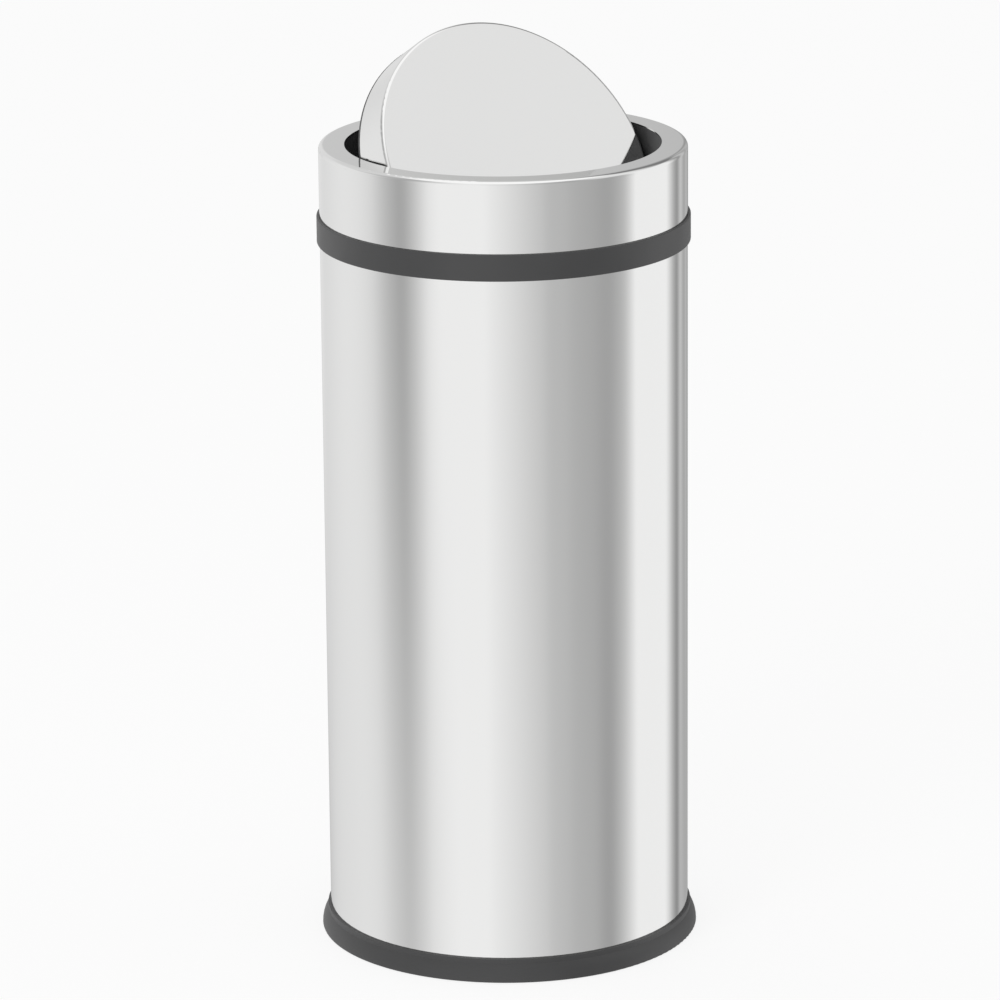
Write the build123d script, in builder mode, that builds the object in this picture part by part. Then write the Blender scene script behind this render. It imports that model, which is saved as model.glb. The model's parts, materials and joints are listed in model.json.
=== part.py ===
from build123d import *
import math
import os

# Free-standing round bin with a swinging flap in a lift-off head. Millimetres, +Z up.
# The origin is on the floor under the middle of the bin. The flap's axle lies along X,
# and the front is -Y. The flap is drawn turned open, as it stands at rest here.

# Driving dimensions
body_radius = 150.0
rim_height = 668.4
collar_face = 58.5
band_height = 21.6
rim_width = 21.2
open_angle = 54.5
swing_limit = 70.0

# Sheet and moulding thicknesses
shell_wall = 0.8
pan_wall = 0.8
bucket_sheet = 0.7
moulded_wall = 2.2
ear_sheet = 1.8

# Clearances
lift_clearance = 0.4
press_clearance = 0.05
seat_clearance = 0.2
bush_clearance = 0.05
hole_clearance = 0.2
stop_clearance = 0.3

# Foot ring
foot_height = 19.3
foot_lip_proud = 2.1
foot_flare = 7.0
foot_lip_height = 4.2
foot_wall = 9.0
shelf_height = 9.0
shelf_thickness = 2.5
shelf_width = 16.0
foot_corner = 1.2
grip_width = 4.0
grip_depth = 2.2
grip_proud = 0.5

# Floor pan
pan_flange = 17.0
pan_ledge = 25.0
pan_rise = 5.0
pan_slope = 6.0
pan_bend = 2.0

# Body tube
hem_height = 10.0
hem_rounding = 0.6

# Band ring
band_proud = 2.5
band_lap = 5.0
band_rounding = 0.8
plug_depth = 28.6
plug_lead = 1.2
web_width = 16.0

# Collar
collar_proud = 0.2
rim_bend = 4.0
foot_bend = 1.6
collar_foot = 14.0

# Inner frame
lining_back = 0.3
screw_inset = 10.0
screw_boss_radius = 4.5
screw_boss_height = 10.0
gusset_count = 6
gusset_thickness = 2.5
gusset_height = 22.0
gusset_reach = 12.0

# Flap
pivot_depth = 25.0
flap_gap = 5.0
skirt_spread = 2.5
flap_skirt = 33.9
flap_bend = 2.8
base_lip = 2.0
base_rim_height = 4.0
stud_count = 4
stud_radius = 2.0
stud_radial_place = 85.0
stud_end = 1.2
standoff_radius = 5.0
base_over = 0.2
base_rib_gap = 4.8
base_rib_height = 1.8
base_rib_width = 3.0

# Pivots and stops
pin_radius = 3.0
pin_short = 1.0
pin_head_radius = 5.0
pin_head_length = 2.0
pin_boss_radius = 8.0
pin_boss_length = 21.0
pin_boss_gap = 1.0
bush_wall = 3.0
bush_flange_radius = 8.0
bush_flange = 1.4
bush_length = 14.0
bush_gap = 0.5
housing_wall = 4.0
housing_end = 1.4
housing_rib = 4.0
buffer_wall = 2.5
buffer_length = 12.0
peg_radius = 3.5
peg_tip = 1.0
peg_shoulder = 1.0

# Counterweight
weight_radius = 12.0
weight_length = 140.0
weight_drop = 36.0
lug_thickness = 4.0
lug_margin = 2.0

# Bucket and bail
bucket_headroom = 14.0
bucket_side_gap = 10.2
bucket_taper = 9.4
bucket_rim_radius = 2.75
bucket_bead = 2.0
bucket_bead_half = 8.0
bucket_bead_heights = (170.0, 390.0)
bucket_foot = 9.0
bucket_bend = 3.0
floor_drop = 1.0
floor_flange = 6.0
floor_bend = 2.0
bail_wire_radius = 2.0
bail_lift = 0.5
bail_crank = 3.0
bail_tip_back = 2.5
bail_head_radius = 3.4
bail_head_length = 1.5
bail_hole_play = 0.3
grip_radius = 7.0
grip_length = 80.0
grip_end_gap = 3.5
grip_inset = 2.0
grip_rounding = 1.5
ear_width = 24.0
ear_below_rim = 28.0
ear_shoulder = 5.0
ear_top_radius = 6.0
rivet_radius = 2.0
rivet_head_radius = 3.6
rivet_head_height = 1.3
rivet_spread = 12.0
rivet_drop = 18.0

# Fasteners: M4 through the sheet, M5 in the counterweight
screw_count = 6
screw_radius = 1.9
screw_head_radius = 4.0
screw_head_height = 2.6
head_screw_length = 13.0
base_screw_length = 9.0
nut_flats = 7.0
nut_height = 3.2
set_screw_hex = 2.0
weight_screw_radius = 2.4
weight_screw_head_radius = 4.5
weight_screw_head_height = 3.0
weight_screw_length = 16.0
drive_slot = 0.9
drive_depth = 1.4

# Heights and radii that follow
band_top = rim_height - collar_face
band_bottom = band_top - band_height
body_top = band_bottom + band_lap
web_top = body_top + moulded_wall
plug_bottom = body_top - plug_depth
shell_inner = body_radius - shell_wall
hem_inner = shell_inner - shell_wall
collar_radius = body_radius + collar_proud
collar_inner = collar_radius - shell_wall
opening_radius = collar_radius - rim_width
band_radius = body_radius + band_proud
plug_radius = hem_inner - lift_clearance - seat_clearance
web_inner = body_radius - web_width
lining_inner = opening_radius + lining_back
lining_outer = lining_inner + moulded_wall
frame_foot = web_top + shell_wall
frame_top = rim_height - shell_wall
screw_circle = body_radius - screw_inset
foot_lip_radius = body_radius + foot_lip_proud
foot_radius = body_radius + foot_flare
shelf_inner = body_radius - shelf_width
shelf_bottom = shelf_height - shelf_thickness
pan_top = shelf_height + pan_wall
base_screw_circle = screw_circle
pivot_height = rim_height - pivot_depth
nut_corner = nut_flats / math.sqrt(3)

# The flap's own frame: its origin on the axle, its z square to the face
open_turn = math.radians(open_angle)
flap_plane = Plane(
    origin=(0, 0, pivot_height),
    x_dir=(1, 0, 0),
    z_dir=(0, -math.sin(open_turn), math.cos(open_turn)),
)
flap_profile = Plane(flap_plane.origin, x_dir=flap_plane.x_dir, z_dir=-flap_plane.y_dir)
flap_axis = Axis(flap_plane.origin, flap_plane.z_dir)
face_radius = opening_radius - flap_gap
skirt_radius = face_radius + skirt_spread
skirt_bottom = pivot_depth - flap_skirt
lip_bottom = skirt_bottom - base_lip
plate_top = lip_bottom + moulded_wall
face_under = pivot_depth - shell_wall


def skirt_outer(height):
    """Outside radius of the flap's tapered skirt at a height above the axle."""
    return face_radius + skirt_spread * (pivot_depth - height) / flap_skirt


def across(side, x, z):
    """A plane square to X, at side * x and height z, facing outward with its y up."""
    return Plane(origin=(side * x, 0, z), x_dir=(0, side, 0), z_dir=(side, 0, 0))


def across_flap(side, x, n=0.0):
    """The same in the flap's own frame, with its y square to the face."""
    place = flap_plane.from_local_coords(Vector(side * x, 0, n))
    return Plane(origin=place, x_dir=flap_plane.y_dir * side, z_dir=(side, 0, 0))


def save(part, label):
    """Name a finished piece and write it."""
    part.label = label
    export_step(part, f"parts/{label}.step")


def pan_head_screw(radius, length, head_radius, head_height):
    """A cross-head screw along +Z whose head seats at the origin."""
    with BuildPart() as screw:
        Cylinder(radius, length, align=(Align.CENTER, Align.CENTER, Align.MIN))
        Cylinder(head_radius, head_height, align=(Align.CENTER, Align.CENTER, Align.MAX))
        fillet(screw.edges().group_by(Axis.Z)[0], head_height * 0.45)
        with BuildSketch(Plane.XY.offset(-head_height)):
            Rectangle(head_radius, drive_slot)
            Rectangle(drive_slot, head_radius)
        extrude(amount=drive_depth, mode=Mode.SUBTRACT)
    return screw.part


def hex_nut(bore):
    """A nut that stands on the origin."""
    with BuildPart() as nut:
        with BuildSketch():
            RegularPolygon(nut_flats / 2, 6, major_radius=False)
            Circle(bore, mode=Mode.SUBTRACT)
        extrude(amount=nut_height)
    return nut.part


os.makedirs("parts", exist_ok=True)

# Body tube, folded inward at its top
with BuildPart() as body_shell:
    with BuildSketch(Plane.XZ):
        with Locations((shell_inner, shelf_height)):
            Rectangle(shell_wall, body_top - shelf_height, align=Align.MIN)
        with Locations((hem_inner, body_top - hem_height)):
            Rectangle(2 * shell_wall, hem_height, align=Align.MIN)
    revolve(axis=Axis.Z)
    fillet(body_shell.edges().group_by(Axis.Z)[-1], min(hem_rounding, 0.75 * shell_wall))
save(body_shell.part, "body_shell")

# Foot ring, with a shelf inside that the tube and the floor pan stand on
inner_foot = foot_radius - foot_wall
groove_middle = (inner_foot + foot_radius - foot_corner) / 2
with BuildPart() as base_ring:
    with BuildSketch(Plane.XZ):
        with BuildLine():
            shoulder = (foot_lip_radius, foot_height - foot_lip_height)
            flare_end = (foot_radius, grip_proud + foot_corner)
            corner_end = (foot_radius - foot_corner, grip_proud)
            Polyline(
                corner_end,
                (inner_foot, grip_proud),
                (inner_foot, shelf_bottom),
                (shelf_inner, shelf_bottom),
                (shelf_inner, shelf_height),
                (body_radius + press_clearance, shelf_height),
                (body_radius + press_clearance, foot_height),
                (foot_lip_radius, foot_height),
                shoulder,
            )
            TangentArc(flare_end, shoulder, tangent=(0, 1))
            RadiusArc(flare_end, corner_end, foot_corner)
        make_face()
        with Locations((groove_middle, grip_proud)):
            Rectangle(grip_width, 2 * (grip_depth - grip_proud), mode=Mode.SUBTRACT)
    revolve(axis=Axis.Z)
    with PolarLocations(base_screw_circle, screw_count):
        Hole(screw_radius + hole_clearance)
save(base_ring.part, "base_ring")

# Rubber ring pressed into the foot ring's groove
with BuildPart() as anti_slip_ring:
    with BuildSketch(Plane.XZ):
        with Locations((groove_middle, 0)):
            Rectangle(
                grip_width - 2 * press_clearance,
                grip_depth - press_clearance,
                align=(Align.CENTER, Align.MIN),
            )
    revolve(axis=Axis.Z)
save(anti_slip_ring.part, "anti_slip_ring")

# Steel floor, raised in the middle and flanged up inside the tube
with BuildPart() as base_pan:
    ledge_inner = body_radius - pan_ledge
    ledge_mid = shelf_height + pan_wall / 2
    flange_mid = shell_inner - press_clearance - pan_wall / 2
    with BuildSketch(Plane.XZ):
        with BuildLine():
            FilletPolyline(
                (0, ledge_mid + pan_rise),
                (ledge_inner - pan_slope, ledge_mid + pan_rise),
                (ledge_inner, ledge_mid),
                (flange_mid, ledge_mid),
                (flange_mid, shelf_height + pan_flange),
                radius=pan_bend,
            )
        trace(line_width=pan_wall)
    revolve(axis=Axis.Z)
    with PolarLocations(base_screw_circle, screw_count):
        Hole(screw_radius + hole_clearance)
save(base_pan.part, "base_pan")

# Screws up through the shelf and the pan, and their nuts
base_screw = pan_head_screw(
    screw_radius, base_screw_length, screw_head_radius, screw_head_height
)
with BuildPart(Plane.XY.offset(shelf_bottom)) as base_screws:
    with PolarLocations(base_screw_circle, screw_count):
        add(base_screw)
save(base_screws.part, "base_screws")

base_nut = hex_nut(screw_radius + press_clearance)
with BuildPart(Plane.XY.offset(pan_top)) as base_nuts:
    with PolarLocations(base_screw_circle, screw_count):
        add(base_nut)
save(base_nuts.part, "base_nuts")

# Band: laps over the tube and the collar, with a web between them and a plug below
with BuildPart() as band_ring:
    with BuildSketch(Plane.XZ):
        with Locations((band_radius, band_bottom)):
            Rectangle(
                band_radius - body_radius - lift_clearance,
                band_height,
                align=(Align.MAX, Align.MIN),
            )
        with Locations((web_inner, body_top)):
            Rectangle(band_radius - web_inner - band_rounding, moulded_wall, align=Align.MIN)
        with Locations((plug_radius, plug_bottom)):
            Rectangle(moulded_wall, plug_depth, align=(Align.MAX, Align.MIN))
        with Locations((body_radius, web_top)):
            Rectangle(
                2 * (collar_proud + seat_clearance),
                2 * band_height,
                align=(Align.CENTER, Align.MIN),
                mode=Mode.SUBTRACT,
            )
    revolve(axis=Axis.Z)
    outer_edges = band_ring.edges().filter_by(GeomType.CIRCLE).group_by(SortBy.RADIUS)[-1]
    fillet(outer_edges, band_rounding)
    chamfer(band_ring.edges().group_by(Axis.Z)[0].sort_by(SortBy.RADIUS)[-1], plug_lead)
    with PolarLocations(screw_circle, screw_count):
        with Locations((0, 0, web_top)):
            Cylinder(screw_radius + hole_clearance, 4 * moulded_wall, mode=Mode.SUBTRACT)
save(band_ring.part, "band_ring")

# Collar: one sheet, turned in flat at the top and clamped by its foot
with BuildPart() as collar_shell:
    half_wall = shell_wall / 2
    collar_mid = collar_radius - half_wall
    collar_foot_mid = web_top + half_wall
    with BuildSketch(Plane.XZ):
        with BuildLine():
            FilletPolyline(
                (collar_radius - collar_foot, collar_foot_mid),
                (collar_mid, collar_foot_mid),
                (collar_mid, rim_height - half_wall),
                (opening_radius, rim_height - half_wall),
                radius=(foot_bend - half_wall, rim_bend - half_wall),
            )
        trace(line_width=shell_wall)
    revolve(axis=Axis.Z)
    with PolarLocations(screw_circle, screw_count):
        with Locations((0, 0, collar_foot_mid)):
            Cylinder(screw_radius + hole_clearance, 2 * shell_wall, mode=Mode.SUBTRACT)
save(collar_shell.part, "collar_shell")

# Gusset between the lining and its foot
with BuildPart() as gusset:
    with BuildSketch(Plane.XZ):
        with BuildLine():
            gusset_inner = lining_outer - moulded_wall / 2
            gusset_foot = frame_foot + moulded_wall / 2
            Polyline(
                (gusset_inner, gusset_foot),
                (lining_outer + gusset_reach, gusset_foot),
                (gusset_inner, gusset_foot + gusset_height),
                close=True,
            )
        make_face()
    extrude(amount=gusset_thickness / 2, both=True)

# Lining of the collar: it carries the bushes, the stop pegs and the screw bosses
pad_face = skirt_radius + bush_gap + bush_flange
bush_radius = pin_radius + bush_wall
housing_radius = bush_radius + housing_wall
housing_length = bush_length - bush_flange + housing_end
buffer_radius = peg_radius + buffer_wall
buffer_end = lining_inner - peg_shoulder
peg_end = buffer_end - buffer_length - peg_tip
peg_drop = (buffer_radius + stop_clearance - lip_bottom) / math.cos(math.radians(swing_limit))
peg_height = pivot_height - peg_drop
with BuildPart() as inner_frame:
    with BuildSketch(Plane.XZ):
        with Locations((lining_inner, plug_bottom)):
            Rectangle(moulded_wall, frame_top - plug_bottom, align=Align.MIN)
        with Locations((lining_inner, frame_foot)):
            Rectangle(collar_inner - foot_bend - lining_inner, moulded_wall, align=Align.MIN)
    revolve(axis=Axis.Z)
    with BuildSketch(Plane.XY.offset(frame_foot)):
        with PolarLocations(screw_circle, screw_count):
            Circle(screw_boss_radius)
    extrude(amount=screw_boss_height)
    with PolarLocations(0, gusset_count, start_angle=180 / gusset_count):
        add(gusset.part)
    for side in (-1, 1):
        with BuildSketch(across(side, lining_inner + moulded_wall / 2, frame_foot)):
            Rectangle(
                housing_rib,
                pivot_height - frame_foot - bush_radius - housing_wall / 2,
                align=(Align.CENTER, Align.MIN),
            )
        extrude(amount=pad_face + housing_length - lining_inner - moulded_wall)
        with BuildSketch(across(side, pad_face, pivot_height)):
            Circle(housing_radius)
        extrude(amount=housing_length)
        with BuildSketch(across(side, pad_face, pivot_height)):
            Circle(bush_radius + press_clearance)
        extrude(amount=housing_length, mode=Mode.SUBTRACT)
        with BuildSketch(across(side, peg_end, peg_height)):
            Circle(peg_radius)
        extrude(amount=lining_inner + moulded_wall / 2 - peg_end)
        with BuildSketch(across(side, buffer_end, peg_height)):
            Circle(buffer_radius)
        extrude(amount=peg_shoulder + moulded_wall / 2)
    with PolarLocations(screw_circle, screw_count):
        with Locations((0, 0, frame_foot)):
            Cylinder(screw_radius + press_clearance, 3 * screw_boss_height, mode=Mode.SUBTRACT)
save(inner_frame.part, "inner_frame")

# Screws up through the band's web and the collar's foot into the lining
head_screw = pan_head_screw(
    screw_radius, head_screw_length, screw_head_radius, screw_head_height
)
with BuildPart(Plane.XY.offset(body_top)) as head_screws:
    with PolarLocations(screw_circle, screw_count):
        add(head_screw)
save(head_screws.part, "head_screws")

# Flap shell: a pressed pan with a tapered skirt, pierced for the pins
with BuildPart() as flap_shell:
    with BuildSketch(flap_profile):
        with BuildLine():
            FilletPolyline(
                (skirt_radius - half_wall, skirt_bottom + press_clearance),
                (face_radius - half_wall, pivot_depth - half_wall),
                (0, pivot_depth - half_wall),
                radius=flap_bend - half_wall,
            )
        trace(line_width=shell_wall)
    revolve(axis=flap_axis)
    for side in (-1, 1):
        with BuildSketch(across_flap(side, stud_radial_place)):
            Circle(pin_radius + hole_clearance)
        extrude(amount=skirt_radius - stud_radial_place, mode=Mode.SUBTRACT)
save(flap_shell.part, "flap_shell")

# Flap base: closes the pan, holds the pins and hangs the counterweight
base_rib_inner = stud_radial_place + nut_corner + base_rib_gap
base_rim_top = plate_top + base_rim_height
base_rim_radius = skirt_outer(base_rim_top) - shell_wall - seat_clearance
pin_boss_end = skirt_outer(0) - shell_wall - pin_boss_gap
pin_boss_start = pin_boss_end - pin_boss_length
set_screw_place = pin_boss_start + pin_boss_length / 2
lug_radius = weight_radius + lug_margin
weight_end = weight_length / 2
with BuildPart() as flap_base:
    with BuildSketch(flap_profile):
        with Locations((0, lip_bottom)):
            Rectangle(skirt_radius + base_over, base_lip, align=Align.MIN)
            Rectangle(base_rim_radius, moulded_wall, align=Align.MIN)
        with Locations((base_rim_radius - moulded_wall, lip_bottom)):
            Rectangle(moulded_wall, base_rim_top - lip_bottom, align=Align.MIN)
        with Locations((base_rib_inner, plate_top)):
            Rectangle(
                base_rib_width, moulded_wall + base_rib_height, align=(Align.MIN, Align.MAX)
            )
    revolve(axis=flap_axis)
    with BuildSketch(flap_plane.offset(lip_bottom)):
        with PolarLocations(stud_radial_place, stud_count, start_angle=180 / stud_count):
            Circle(standoff_radius)
    extrude(amount=face_under - lip_bottom)
    for side in (-1, 1):
        with BuildSketch(across_flap(side, pin_boss_start)):
            Circle(pin_boss_radius)
            Rectangle(2 * pin_boss_radius, -lip_bottom, align=(Align.CENTER, Align.MAX))
        extrude(amount=pin_boss_length)
        with BuildSketch(across_flap(side, pin_boss_start)):
            Circle(pin_radius + press_clearance)
        extrude(amount=pin_boss_length, mode=Mode.SUBTRACT)
        with BuildSketch(across_flap(side, weight_end, -weight_drop)):
            Circle(lug_radius)
            Rectangle(2 * lug_radius, weight_drop + plate_top, align=(Align.CENTER, Align.MIN))
            Circle(weight_screw_radius + hole_clearance, mode=Mode.SUBTRACT)
        extrude(amount=lug_thickness)
    with BuildSketch(flap_plane.offset(lip_bottom)):
        with Locations((-set_screw_place, 0), (set_screw_place, 0)):
            Circle(screw_radius + press_clearance)
    extrude(amount=-lip_bottom, mode=Mode.SUBTRACT)
    with BuildSketch(flap_plane.offset(lip_bottom)):
        with PolarLocations(stud_radial_place, stud_count, start_angle=180 / stud_count):
            Circle(stud_radius + hole_clearance)
    extrude(amount=face_under - lip_bottom, mode=Mode.SUBTRACT)
save(flap_base.part, "flap_base")

# Studs welded under the face, and the nuts that pull the base up to it
stud_bottom = lip_bottom - nut_height - stud_end
with BuildPart(flap_plane.offset(stud_bottom)) as flap_studs:
    with PolarLocations(stud_radial_place, stud_count, start_angle=180 / stud_count):
        Cylinder(
            stud_radius, face_under - stud_bottom, align=(Align.CENTER, Align.CENTER, Align.MIN)
        )
save(flap_studs.part, "flap_studs")

stud_nut = hex_nut(stud_radius + press_clearance)
with BuildPart(flap_plane.offset(lip_bottom - nut_height)) as flap_nuts:
    with PolarLocations(stud_radial_place, stud_count, start_angle=180 / stud_count):
        add(stud_nut)
save(flap_nuts.part, "flap_nuts")

# Counterweight bar with a tapped hole in each end, and its screws
with BuildPart() as counterweight:
    with BuildSketch(across_flap(1, -weight_end, -weight_drop)):
        Circle(weight_radius)
    extrude(amount=weight_length)
    chamfer(counterweight.edges().filter_by(GeomType.CIRCLE), 1.0)
    for side in (-1, 1):
        with BuildSketch(-across_flap(side, weight_end, -weight_drop)):
            Circle(weight_screw_radius + press_clearance)
        extrude(amount=weight_screw_length, mode=Mode.SUBTRACT)
save(counterweight.part, "counterweight")

weight_screw = pan_head_screw(
    weight_screw_radius, weight_screw_length, weight_screw_head_radius, weight_screw_head_height
)
with BuildPart() as counterweight_screws:
    for side in (-1, 1):
        with Locations(-across_flap(side, weight_end + lug_thickness, -weight_drop)):
            add(weight_screw)
save(counterweight_screws.part, "counterweight_screws")

# Set screws up through the base, against the pins
with BuildPart() as pin_set_screws:
    set_screw_bottom = lip_bottom + base_lip
    with BuildSketch(flap_plane.offset(set_screw_bottom)):
        with Locations((-set_screw_place, 0), (set_screw_place, 0)):
            Circle(screw_radius)
    extrude(amount=-set_screw_bottom - pin_radius - press_clearance)
    with BuildSketch(flap_plane.offset(set_screw_bottom)):
        with Locations((-set_screw_place, 0), (set_screw_place, 0)):
            RegularPolygon(set_screw_hex / 2, 6, major_radius=False)
    extrude(amount=drive_depth, mode=Mode.SUBTRACT)
save(pin_set_screws.part, "pin_set_screws")

# Pins, bushes and stop buffers, one of each a side
pin_end = pad_face + bush_length - bush_flange - pin_short
for side, name in ((-1, "left"), (1, "right")):
    with BuildPart() as pivot_pin:
        with BuildSketch(across_flap(side, pin_boss_start - pin_head_length)):
            Circle(pin_head_radius)
        extrude(amount=pin_head_length)
        with BuildSketch(across_flap(side, pin_boss_start)):
            Circle(pin_radius)
        extrude(amount=pin_end - pin_boss_start)
        chamfer(pivot_pin.edges().sort_by(Axis.X)[-1 if side > 0 else 0], pin_radius / 4)
    save(pivot_pin.part, f"pivot_pin_{name}")

    with BuildPart() as pivot_bush:
        with BuildSketch(across(side, pad_face - bush_flange, pivot_height)):
            Circle(bush_flange_radius)
        extrude(amount=bush_flange)
        with BuildSketch(across(side, pad_face, pivot_height)):
            Circle(bush_radius)
        extrude(amount=bush_length - bush_flange)
        with BuildSketch(across(side, pad_face - bush_flange, pivot_height)):
            Circle(pin_radius + bush_clearance)
        extrude(amount=bush_length, mode=Mode.SUBTRACT)
    save(pivot_bush.part, f"pivot_bush_{name}")

    with BuildPart() as stop_buffer:
        with BuildSketch(across(side, buffer_end - buffer_length, peg_height)):
            Circle(buffer_radius)
            Circle(peg_radius + press_clearance, mode=Mode.SUBTRACT)
        extrude(amount=buffer_length)
    save(stop_buffer.part, f"stop_buffer_{name}")

# Bucket: a tapered wall with two swaged beads and a wired rim
bucket_top = plug_bottom - bucket_headroom
bucket_top_mid = shell_inner - bucket_side_gap - bucket_sheet / 2
bucket_foot_mid = bucket_top_mid - bucket_taper
bucket_foot_top = pan_top + bucket_foot
rim_middle = bucket_top - bucket_rim_radius


def bucket_mid(height):
    """Radius of the middle of the bucket's wall at a height above its foot."""
    share = (height - bucket_foot_top) / (rim_middle - bucket_foot_top)
    return bucket_foot_mid + bucket_taper * share


bead_points = []
for bead_height in bucket_bead_heights:
    for step in (-1, 0, 1):
        height = bead_height + step * bucket_bead_half
        bead_points.append((bucket_mid(height) + bucket_bead * (step == 0), height))

bail_height = bucket_top + bail_wire_radius + bail_lift
ear_bottom = bucket_top - ear_below_rim
ear_wall_radius = bucket_mid(ear_bottom) - bucket_sheet / 2
ear_outer = math.sqrt(ear_wall_radius**2 - (ear_width / 2) ** 2) - press_clearance
ear_inner = ear_outer - ear_sheet
rivet_height = bucket_top - rivet_drop
rivet_seat = bucket_mid(rivet_height) + bucket_sheet / 2 + press_clearance
rivet_places = ((-rivet_spread / 2, 0), (rivet_spread / 2, 0))
with BuildPart() as bucket_wall:
    with BuildSketch(Plane.XZ):
        with BuildLine():
            FilletPolyline(
                (bucket_foot_mid, pan_top),
                (bucket_foot_mid, bucket_foot_top),
                *bead_points,
                (bucket_top_mid, rim_middle),
                radius=bucket_bend,
            )
        trace(line_width=bucket_sheet)
        with Locations((bucket_top_mid + bucket_rim_radius - bucket_sheet / 2, rim_middle)):
            Circle(bucket_rim_radius)
    revolve(axis=Axis.Z)
    for side in (-1, 1):
        with BuildSketch(across(side, ear_inner, rivet_height)):
            with Locations(*rivet_places):
                Circle(rivet_radius + press_clearance)
        extrude(amount=bucket_rim_radius + ear_sheet, mode=Mode.SUBTRACT)
save(bucket_wall.part, "bucket_wall")

# Bucket floor, flanged down inside the foot of the wall
with BuildPart() as bucket_floor:
    floor_mid = bucket_foot_top - floor_drop
    floor_flange_mid = bucket_foot_mid - bucket_sheet - press_clearance
    with BuildSketch(Plane.XZ):
        with BuildLine():
            FilletPolyline(
                (0, floor_mid),
                (floor_flange_mid, floor_mid),
                (floor_flange_mid, floor_mid - floor_flange),
                radius=floor_bend,
            )
        trace(line_width=bucket_sheet)
    revolve(axis=Axis.Z)
save(bucket_floor.part, "bucket_floor")

# Ears riveted inside the rim
for side, name in ((-1, "left"), (1, "right")):
    with BuildPart() as bail_ear:
        with BuildSketch(across(side, ear_inner, bail_height)):
            Circle(ear_top_radius)
            with Locations((0, ear_bottom - bail_height)):
                Rectangle(
                    ear_width,
                    ear_below_rim - ear_shoulder,
                    align=(Align.CENTER, Align.MIN),
                )
            make_hull()
            Circle(bail_wire_radius + bail_hole_play, mode=Mode.SUBTRACT)
            with Locations(*((y, rivet_height - bail_height) for y, _ in rivet_places)):
                Circle(rivet_radius + press_clearance, mode=Mode.SUBTRACT)
        extrude(amount=ear_sheet)
    save(bail_ear.part, f"bail_ear_{name}")

with BuildPart() as ear_rivets:
    for side in (-1, 1):
        with BuildSketch(across(side, ear_inner - rivet_head_height, rivet_height)):
            with Locations(*rivet_places):
                Circle(rivet_head_radius)
        extrude(amount=rivet_head_height)
        with BuildSketch(across(side, ear_inner, rivet_height)):
            with Locations(*rivet_places):
                Circle(rivet_radius)
        extrude(amount=rivet_seat - ear_inner)
        with BuildSketch(across(side, rivet_seat, rivet_height)):
            with Locations(*rivet_places):
                Circle(rivet_head_radius)
        extrude(amount=rivet_head_height)
save(ear_rivets.part, "ear_rivets")

# Bail: one wire, folded back on the rim, cranked in through both ears
bail_radius = ear_outer + bail_crank + seat_clearance
bail_tip = ear_inner - bail_tip_back
grip_reach = bucket_top_mid - bucket_sheet / 2 - grip_inset
bail_top = math.sqrt(grip_reach**2 - (grip_length / 2) ** 2) - grip_radius
bail_straight = grip_length / 2 + grip_end_gap
bail_rise = bail_top - bail_crank
shoulder_radius = (bail_radius**2 - bail_straight**2 - bail_rise**2) / (
    2 * (bail_radius - bail_rise)
)
shoulder_turn = math.degrees(math.atan2(bail_rise - shoulder_radius, bail_straight))
with BuildPart() as bail_wire:
    with BuildLine(Plane.XY.offset(bail_height)) as bail_path:
        Line((bail_tip, 0), (bail_radius - bail_crank, 0))
        CenterArc((bail_radius - bail_crank, bail_crank), bail_crank, -90, 90)
        CenterArc((0, bail_crank), bail_radius, 0, shoulder_turn)
        CenterArc(
            (bail_straight, bail_top - shoulder_radius),
            shoulder_radius,
            shoulder_turn,
            90 - shoulder_turn,
        )
        Line((bail_straight, bail_top), (0, bail_top))
        mirror(about=Plane.YZ)
    with BuildSketch(across(1, bail_tip, bail_height)):
        Circle(bail_wire_radius)
    sweep(path=bail_path.wires()[0])
    for side in (-1, 1):
        with BuildSketch(across(side, bail_tip, bail_height)):
            Circle(bail_head_radius)
        extrude(amount=bail_head_length)
save(bail_wire.part, "bail_wire")

# Moulded grip on the straight of the bail
with BuildPart() as bail_grip:
    with BuildSketch(across(1, -grip_length / 2, bail_height)):
        with Locations((bail_top, 0)):
            Circle(grip_radius)
            Circle(bail_wire_radius + press_clearance, mode=Mode.SUBTRACT)
    extrude(amount=grip_length)
    grip_ends = bail_grip.edges().filter_by(GeomType.CIRCLE).group_by(SortBy.RADIUS)[-1]
    fillet(grip_ends, grip_rounding)
save(bail_grip.part, "bail_grip")
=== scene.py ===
import json
import math

import bpy
from mathutils import Matrix, Vector

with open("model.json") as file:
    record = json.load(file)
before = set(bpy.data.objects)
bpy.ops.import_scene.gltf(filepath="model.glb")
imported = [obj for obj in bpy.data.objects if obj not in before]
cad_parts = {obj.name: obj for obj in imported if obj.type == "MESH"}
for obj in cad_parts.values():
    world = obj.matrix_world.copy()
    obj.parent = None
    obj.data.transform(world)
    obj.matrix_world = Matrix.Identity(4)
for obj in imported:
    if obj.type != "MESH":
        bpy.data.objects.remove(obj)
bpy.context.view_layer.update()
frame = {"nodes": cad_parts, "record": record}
nodes = frame["nodes"]
scene = bpy.context.scene

# Camera, metres and degrees, in the row frame
CAMERA_DISTANCE = 4.6624
CAMERA_HEIGHT = 1.6785
CAMERA_AZIMUTH = -36.1
CAMERA_PITCH = 15.717
CAMERA_YAW = -0.061
CAMERA_ROLL = -0.504
CAMERA_LENS = 211.2
SENSOR_WIDTH = 36.0

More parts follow.
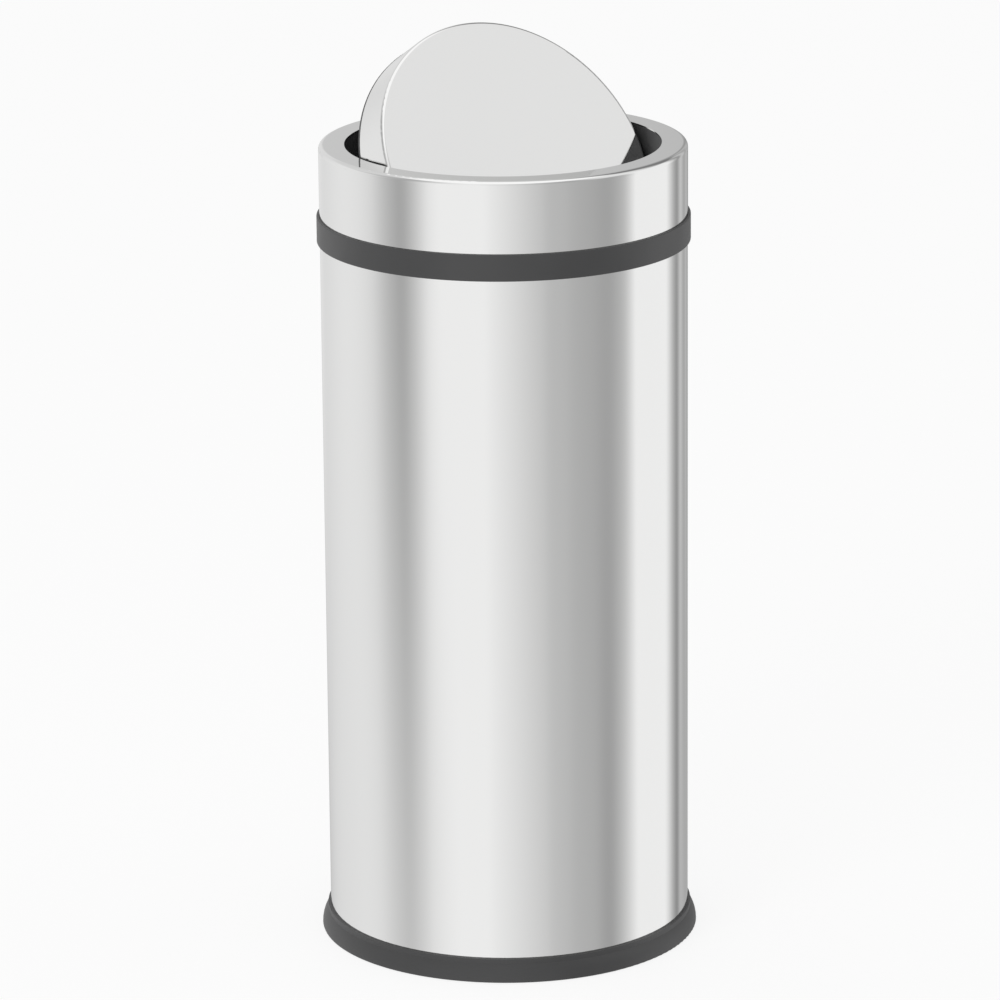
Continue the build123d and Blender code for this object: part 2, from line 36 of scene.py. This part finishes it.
# Studio: upright soft panels, each an angle from the camera, to its right, and a brightness
PANELS_LEVEL = (
    (-180, 0.60), (-171, 0.78), (-150, 0.80), (-115, 0.90), (-90, 0.78), (-72, 0.49),
    (-62, 0.52), (-50, 0.85), (-38, 1.02), (-28, 1.04), (-8, 0.95), (24, 0.63), (40, 0.53),
    (56, 0.46), (72, 0.45), (83, 0.68), (94, 1.15), (112, 1.20), (124, 0.92), (137, 0.36),
    (145, 0.60), (153, 0.42), (162, 0.50), (171, 0.34), (180, 0.60),
)
PANELS_BELOW = (
    (-180, 0.50), (-150, 0.74), (-115, 0.86), (-90, 0.84), (-72, 0.66), (-62, 0.67),
    (-50, 0.86), (-28, 1.01), (-8, 0.95), (24, 0.69), (40, 0.56), (56, 0.49), (72, 0.46),
    (94, 1.05), (112, 1.12), (124, 0.85), (137, 0.32), (145, 0.50), (162, 0.42), (180, 0.50),
)
PANELS_ABOVE = (
    (-180, 0.70), (-115, 0.75), (-72, 0.47), (-50, 0.75), (-28, 0.95), (-8, 0.88), (24, 0.58),
    (56, 0.47), (70, 0.80), (108, 0.85), (128, 0.35), (150, 0.22), (168, 0.35), (180, 0.70),
)
OVERHEAD = 1.12

# How steeply a direction rises, from -1 to 1, where one ring of panels gives way to the next
BELOW_TO_LEVEL = (-0.36, -0.22)
LEVEL_TO_ABOVE = (0.36, 0.48)
ABOVE_TO_OVERHEAD = (0.78, 0.9)

# Turns in degrees, and the rows of a matrix that turns and moves
QUARTER_TURN = 90
HALF_TURN = 180
FULL_TURN = 360
MATRIX_SIZE = 4

FLOOR_HALF = 6.0
FLOOR_COLOR = (0.95, 0.95, 0.95)
FLOOR_ROUGHNESS = 1.0
FLOOR_GLOW = 0.84

# Key lamp, metres and watts, and its angle from the camera
KEY_ANGLE = -32.0
KEY_DISTANCE = 2.6
KEY_HEIGHT = 2.3
KEY_SIZE = 1.1
KEY_POWER = 14.0
KEY_AIM_HEIGHT = 0.6

# Grain of the finishes: its depth in metres, and the part of a noise that a tint spans
FINE_GRAIN = 0.0001
COARSE_GRAIN = 0.0002
TINT_START = 0.3
TINT_END = 0.7


def new_object(name, data):
    thing = bpy.data.objects.new(name, data)
    scene.collection.objects.link(thing)
    return thing


class Tree:
    """The node tree of a material or a world, and short ways to add to it."""

    def __init__(self, owner):
        owner.use_nodes = True
        self.tree = owner.node_tree

    def node(self, kind, **values):
        made = self.tree.nodes.new(kind)
        for key, value in values.items():
            setattr(made, key, value)
        return made

    def join(self, source, target):
        self.tree.links.new(source, target)

    def blend(self, factor, first, second):
        """The first shader where factor is 0, and the second where it is 1."""
        made = self.node("ShaderNodeMixShader")
        if isinstance(factor, float):
            made.inputs["Fac"].default_value = factor
        else:
            self.join(factor, made.inputs["Fac"])
        self.join(first, made.inputs[1])
        self.join(second, made.inputs[2])
        return made.outputs["Shader"]


class Finish(Tree):
    """A material with its Principled shader. Noise scales are in waves a metre."""

    def __init__(self, name, color, roughness, metallic=0.0):
        self.material = bpy.data.materials.new(name)
        super().__init__(self.material)
        self.bsdf = self.tree.nodes["Principled BSDF"]
        self.bsdf.inputs["Base Color"].default_value = (*color, 1)
        self.bsdf.inputs["Roughness"].default_value = roughness
        self.bsdf.inputs["Metallic"].default_value = metallic

    def place(self, stretch=(1, 1, 1)):
        mapping = self.node("ShaderNodeMapping")
        mapping.inputs["Scale"].default_value = stretch
        coordinates = self.node("ShaderNodeTexCoord")
        self.join(coordinates.outputs["Object"], mapping.inputs["Vector"])
        return mapping.outputs["Vector"]

    def noise(self, scale, detail=3.0, stretch=(1, 1, 1)):
        made = self.node("ShaderNodeTexNoise")
        made.inputs["Scale"].default_value = scale
        made.inputs["Detail"].default_value = detail
        self.join(self.place(stretch), made.inputs["Vector"])
        return made.outputs["Fac"]

    def flakes(self, scale):
        """Crystals side by side, with two values that differ from one to the next."""
        cells = self.node("ShaderNodeTexVoronoi")
        cells.inputs["Scale"].default_value = scale
        self.join(self.place(), cells.inputs["Vector"])
        parts = self.node("ShaderNodeSeparateColor")
        self.join(cells.outputs["Color"], parts.inputs["Color"])
        return parts.outputs["Red"], parts.outputs["Green"]

    def tint(self, factor, low, high):
        ramp = self.node("ShaderNodeValToRGB")
        start, end = ramp.color_ramp.elements
        start.position, start.color = TINT_START, (*low, 1)
        end.position, end.color = TINT_END, (*high, 1)
        self.join(factor, ramp.inputs["Fac"])
        self.join(ramp.outputs["Color"], self.bsdf.inputs["Base Color"])

    def rough(self, factor, low, high):
        span = self.node("ShaderNodeMapRange")
        span.inputs["To Min"].default_value = low
        span.inputs["To Max"].default_value = high
        self.join(factor, span.inputs["Value"])
        self.join(span.outputs["Result"], self.bsdf.inputs["Roughness"])

    def bump(self, height, strength, depth=FINE_GRAIN):
        made = self.node("ShaderNodeBump")
        made.inputs["Strength"].default_value = strength
        made.inputs["Distance"].default_value = depth
        self.join(height, made.inputs["Height"])
        self.join(made.outputs["Normal"], self.bsdf.inputs["Normal"])


def polished_steel():
    steel = Finish("polished_steel", (0.83, 0.83, 0.825), roughness=0.06, metallic=1.0)
    steel.rough(steel.noise(scale=7.0), low=0.045, high=0.08)
    streaks = steel.noise(scale=60.0, detail=2.0, stretch=(1, 1, 0.15))
    steel.bump(streaks, strength=0.05)
    return steel.material


def black_plastic():
    plastic = Finish("black_plastic", (0.05, 0.05, 0.051), roughness=0.45)
    plastic.tint(plastic.noise(scale=14.0), (0.044, 0.044, 0.045), (0.053, 0.053, 0.054))
    plastic.rough(plastic.noise(scale=30.0), low=0.4, high=0.52)
    plastic.bump(plastic.noise(scale=1600.0, detail=2.0), strength=0.25)
    return plastic.material


def rubber():
    soft = Finish("rubber", (0.035, 0.035, 0.036), roughness=0.8)
    soft.tint(soft.noise(scale=40.0), (0.03, 0.03, 0.031), (0.042, 0.042, 0.043))
    soft.rough(soft.noise(scale=90.0), low=0.72, high=0.9)
    soft.bump(soft.noise(scale=900.0), strength=0.4)
    return soft.material


def bearing_plastic():
    pale = Finish("bearing_plastic", (0.8, 0.79, 0.75), roughness=0.35)
    pale.tint(pale.noise(scale=50.0), (0.78, 0.77, 0.73), (0.83, 0.82, 0.78))
    pale.rough(pale.noise(scale=60.0), low=0.3, high=0.42)
    pale.bump(pale.noise(scale=700.0), strength=0.1)
    return pale.material


def galvanised_steel():
    zinc = Finish("galvanised_steel", (0.6, 0.62, 0.64), roughness=0.4, metallic=0.9)
    shade, gloss = zinc.flakes(scale=70.0)
    zinc.tint(shade, (0.52, 0.54, 0.56), (0.68, 0.7, 0.72))
    zinc.rough(gloss, low=0.3, high=0.5)
    zinc.bump(zinc.noise(scale=260.0), strength=0.12, depth=COARSE_GRAIN)
    return zinc.material


def zinc_steel():
    plated = Finish("zinc_steel", (0.7, 0.71, 0.72), roughness=0.28, metallic=1.0)
    plated.tint(plated.noise(scale=120.0), (0.66, 0.67, 0.68), (0.74, 0.75, 0.76))
    plated.rough(plated.noise(scale=220.0), low=0.22, high=0.36)
    plated.bump(plated.noise(scale=900.0), strength=0.08)
    return plated.material


FINISHES = {
    "polished_steel": polished_steel(),
    "black_plastic": black_plastic(),
    "rubber": rubber(),
    "bearing_plastic": bearing_plastic(),
    "galvanised_steel": galvanised_steel(),
    "zinc_steel": zinc_steel(),
}
for subpart in frame["record"]["subparts"]:
    piece = nodes[subpart["node"]]
    piece.data.materials.clear()
    piece.data.materials.append(FINISHES[subpart["material_slot"]])


def look_from(azimuth, distance, height):
    angle = math.radians(azimuth)
    return Vector((distance * math.sin(angle), -distance * math.cos(angle), height))


def rotation(axis, degrees):
    return Matrix.Rotation(math.radians(degrees), MATRIX_SIZE, axis)


def make_camera():
    """Turned, tilted and rolled about its own place, as the photograph's lines say."""
    lens = bpy.data.cameras.new("camera")
    lens.lens = CAMERA_LENS
    lens.sensor_width = SENSOR_WIDTH
    camera = new_object("camera", lens)
    turn = rotation("Z", CAMERA_AZIMUTH - CAMERA_YAW)
    tilt = rotation("X", QUARTER_TURN - CAMERA_PITCH)
    roll = rotation("Z", CAMERA_ROLL)
    place = Matrix.Translation(look_from(CAMERA_AZIMUTH, CAMERA_DISTANCE, CAMERA_HEIGHT))
    camera.matrix_world = place @ turn @ tilt @ roll
    scene.camera = camera


class Sky(Tree):
    """The world's surroundings, as brightness by direction."""

    def span(self, value, low, high):
        """0 below low and 1 above high, smooth between."""
        made = self.node("ShaderNodeMapRange", interpolation_type="SMOOTHSTEP")
        made.inputs["From Min"].default_value = low
        made.inputs["From Max"].default_value = high
        self.join(value, made.inputs["Value"])
        return made.outputs["Result"]

    def ramp(self, share, panels):
        """Panels all round, where share goes from 0 to 1 once round the upright."""
        made = self.node("ShaderNodeValToRGB")
        made.color_ramp.interpolation = "CARDINAL"
        stops = made.color_ramp.elements
        while len(stops) < len(panels):
            stops.new(position=0.5)
        for stop, (angle, level) in zip(stops, panels):
            stop.position = (angle + HALF_TURN) / FULL_TURN
            stop.color = (level, level, level, 1)
        self.join(share, made.inputs["Fac"])
        return made.outputs["Color"]

    def mix(self, factor, first, second):
        made = self.node("ShaderNodeMixRGB")
        self.join(factor, made.inputs["Fac"])
        self.join(first, made.inputs["Color1"])
        if isinstance(second, float):
            made.inputs["Color2"].default_value = (second, second, second, 1)
        else:
            self.join(second, made.inputs["Color2"])
        return made.outputs["Color"]

    def direction(self):
        """Share of a turn round the upright, from straight behind the bin, and rise."""
        turned = self.node("ShaderNodeMapping")
        heading = math.radians(QUARTER_TURN - CAMERA_AZIMUTH)
        turned.inputs["Rotation"].default_value = (0, 0, heading)
        coordinates = self.node("ShaderNodeTexCoord")
        self.join(coordinates.outputs["Generated"], turned.inputs["Vector"])
        parts = self.node("ShaderNodeSeparateXYZ")
        self.join(turned.outputs["Vector"], parts.inputs["Vector"])
        angle = self.node("ShaderNodeMath", operation="ARCTAN2")
        self.join(parts.outputs["Y"], angle.inputs[0])
        self.join(parts.outputs["X"], angle.inputs[1])
        share = self.node("ShaderNodeMapRange")
        share.inputs["From Min"].default_value = -math.pi
        share.inputs["From Max"].default_value = math.pi
        self.join(angle.outputs[0], share.inputs["Value"])
        return share.outputs["Result"], parts.outputs["Z"]


def make_world():
    """Soft upright panels all round, and white where the camera looks straight at it."""
    world = bpy.data.worlds.new("studio")
    scene.world = world
    sky = Sky(world)
    share, rise = sky.direction()
    below = sky.ramp(share, PANELS_BELOW)
    ahead = sky.ramp(share, PANELS_LEVEL)
    above = sky.ramp(share, PANELS_ABOVE)
    level = sky.mix(sky.span(rise, *BELOW_TO_LEVEL), below, ahead)
    level = sky.mix(sky.span(rise, *LEVEL_TO_ABOVE), level, above)
    level = sky.mix(sky.span(rise, *ABOVE_TO_OVERHEAD), level, OVERHEAD)
    around = sky.tree.nodes["Background"]
    sky.join(level, around.inputs["Color"])
    white = sky.node("ShaderNodeBackground")
    white.inputs["Color"].default_value = (1, 1, 1, 1)
    seen = sky.node("ShaderNodeLightPath").outputs["Is Camera Ray"]
    shown = sky.blend(seen, around.outputs["Background"], white.outputs["Background"])
    sky.join(shown, sky.tree.nodes["World Output"].inputs["Surface"])


def make_floor():
    """Pale floor: it keeps the shadow, and lets the panels show in the steel."""
    near, far = -FLOOR_HALF, FLOOR_HALF
    corners = [(near, near, 0), (far, near, 0), (far, far, 0), (near, far, 0)]
    mesh = bpy.data.meshes.new("floor")
    mesh.from_pydata(corners, [], [(0, 1, 2, 3)])
    floor = new_object("floor", mesh)
    paint = Finish("floor", FLOOR_COLOR, FLOOR_ROUGHNESS)
    glow = paint.node("ShaderNodeEmission").outputs["Emission"]
    clear = paint.node("ShaderNodeBsdfTransparent").outputs["BSDF"]
    mirrored = paint.node("ShaderNodeLightPath").outputs["Is Glossy Ray"]
    seen = paint.blend(FLOOR_GLOW, paint.bsdf.outputs["BSDF"], glow)
    shown = paint.blend(mirrored, seen, clear)
    paint.join(shown, paint.tree.nodes["Material Output"].inputs["Surface"])
    floor.data.materials.append(paint.material)


def make_key():
    """One soft lamp, high in front on the left. The steel shows the panels without it."""
    lamp = bpy.data.lights.new("key_lamp", "AREA")
    lamp.shape = "DISK"
    lamp.size = KEY_SIZE
    lamp.energy = KEY_POWER
    key = new_object("key_lamp", lamp)
    key.location = look_from(CAMERA_AZIMUTH + KEY_ANGLE, KEY_DISTANCE, KEY_HEIGHT)
    aim = Vector((0, 0, KEY_AIM_HEIGHT)) - key.location
    key.rotation_euler = aim.to_track_quat("-Z", "Y").to_euler()
    key.visible_glossy = False


make_camera()
make_world()
make_floor()
make_key()

scene.view_settings.view_transform = "Standard"
